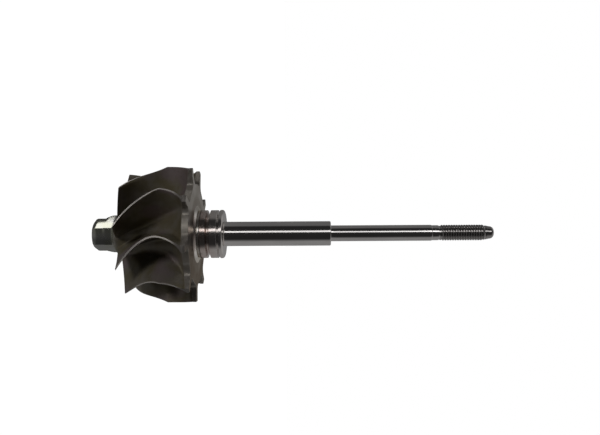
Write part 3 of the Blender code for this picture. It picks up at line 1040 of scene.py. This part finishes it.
class Sky:
    """The world's nodes, added one after the other."""

    def __init__(self):
        world = bpy.data.worlds.new("studio")
        bpy.context.scene.world = world
        world.use_nodes = True
        self.nodes = world.node_tree.nodes
        self.links = world.node_tree.links
        self.nodes.clear()
        place = self.nodes.new("ShaderNodeTexCoord")
        parts = self.nodes.new("ShaderNodeSeparateXYZ")
        self.links.new(place.outputs["Generated"], parts.inputs[0])
        self.x, self.y, self.z = parts.outputs

    def span(self, value, limits):
        """Give a soft step from 0 to 1 while a value passes two limits."""
        node = self.nodes.new("ShaderNodeMapRange")
        node.interpolation_type = "SMOOTHSTEP"
        node.inputs["From Min"].default_value = limits[0]
        node.inputs["From Max"].default_value = limits[1]
        self.links.new(value, node.inputs["Value"])
        return node.outputs[0]

    def blend(self, share, first, second):
        """Blend two levels, from the first at share 0 to the second at share 1."""
        node = self.nodes.new("ShaderNodeMix")
        self.links.new(share, node.inputs[0])
        for socket, value in ((node.inputs[2], first), (node.inputs[3], second)):
            if isinstance(value, bpy.types.NodeSocket):
                self.links.new(value, socket)
            else:
                socket.default_value = value
        return node.outputs[0]


def make_world():
    """Make white surroundings for the camera and dim grey ones for the metal.

    The metal sees a dark room in front, a little lighter on the left except
    low down, and grey behind it, lighter below than above, darkest on the left
    and lightest on the right. Dull surfaces get almost nothing from it.
    """
    sky = Sky()
    under = sky.span(sky.x, SKY_BELOW_X)
    level = sky.blend(under, SKY_BEHIND_ABOVE, SKY_BEHIND_BELOW)
    right = sky.blend(sky.span(sky.y, SKY_RIGHT_Y), 0.0, sky.span(sky.z, SKY_RIGHT_Z))
    level = sky.blend(right, level, SKY_BEHIND_RIGHT)
    above = sky.span(sky.y, SKY_BEHIND_ABOVE_Y)
    below = sky.span(sky.y, SKY_BEHIND_BELOW_Y)
    left = sky.blend(under, SKY_BEHIND_LEFT_ABOVE, SKY_BEHIND_LEFT_BELOW)
    level = sky.blend(sky.span(sky.z, SKY_LEFT_Z), level, left)
    not_low = sky.blend(sky.span(sky.x, SKY_FRONT_LEFT_X), SKY_FRONT, SKY_FRONT_LEFT)
    front = sky.blend(sky.span(sky.z, SKY_FRONT_LEFT_Z), SKY_FRONT, not_low)
    level = sky.blend(sky.blend(under, above, below), front, level)
    seen = sky.nodes.new("ShaderNodeLightPath")
    level = sky.blend(seen.outputs["Is Diffuse Ray"], level, SKY_FOR_DULL_SURFACES)
    dim = sky.nodes.new("ShaderNodeBackground")
    sky.links.new(level, dim.inputs["Strength"])
    white = sky.nodes.new("ShaderNodeBackground")
    white.inputs["Strength"].default_value = 1.0
    white.inputs["Color"].default_value = (1.0, 1.0, 1.0, 1.0)
    choose = sky.nodes.new("ShaderNodeMixShader")
    sky.links.new(seen.outputs["Is Camera Ray"], choose.inputs[0])
    sky.links.new(dim.outputs[0], choose.inputs[1])
    sky.links.new(white.outputs[0], choose.inputs[2])
    out = sky.nodes.new("ShaderNodeOutputWorld")
    sky.links.new(choose.outputs[0], out.inputs["Surface"])


def make_camera():
    """Place the camera as the photograph's was, lying on its side."""
    data = bpy.data.cameras.new("photo_camera")
    data.sensor_width = SENSOR_WIDTH
    data.lens = PHOTO_FOCAL_PX * SENSOR_WIDTH / PHOTO_WIDTH
    data.clip_start = CLIP_START
    data.clip_end = CLIP_END
    camera = bpy.data.objects.new("photo_camera", data)
    bpy.context.scene.collection.objects.link(camera)
    sine = math.sin(PHOTO_ROLL)
    cosine = math.cos(PHOTO_ROLL)
    right = Vector((sine, 0.0, cosine))
    up = Vector((-cosine, 0.0, sine))
    columns = Matrix((right, up, right.cross(up))).transposed()
    distance = PHOTO_FOCAL_PX * PHOTO_SCALE
    location = studio_point(PHOTO_CENTRE_Z, PHOTO_CENTRE_UP, distance)
    camera.matrix_world = Matrix.Translation(location) @ columns.to_4x4()
    bpy.context.scene.camera = camera


def make_lamps():
    """Place the lamps that only the metal mirrors and the one that lights dull surfaces."""
    mirrored = []
    for name, start, end, up, height, brightness in LAMP_OVER_CAMERA:
        width = end - start
        watts = brightness * math.pi * width * height * MM * MM
        middle = (start + end) / 2
        place = (middle, up, LAMP_DISTANCE)
        mirrored.append(soft_light(name, place, (middle, 0, 0), (width, height), watts))
    mirrored.append(soft_light(*MIRRORED_LAMP))
    for lamp in mirrored:
        lamp.visible_diffuse = False
    dull = soft_light(*DULL_LAMP)
    dull.visible_glossy = False


def main():
    """Make the studio and the rotor's three pieces, and tell the frame what they stand for."""
    scene = bpy.context.scene
    scene.view_settings.view_transform = "Standard"
    make_camera()
    make_world()
    make_floor()
    make_lamps()
    casting = make_casting([cast_alloy(), ground_edge(), disc_back(), rim_metal()])
    shaft = make_shaft([boss_steel(), ground_steel(), thread_steel()])
    weld = make_weld(weld_metal())
    for piece in (casting, shaft, weld):
        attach(piece, "root")
    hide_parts("turbine_wheel")
    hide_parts("shaft")


main()
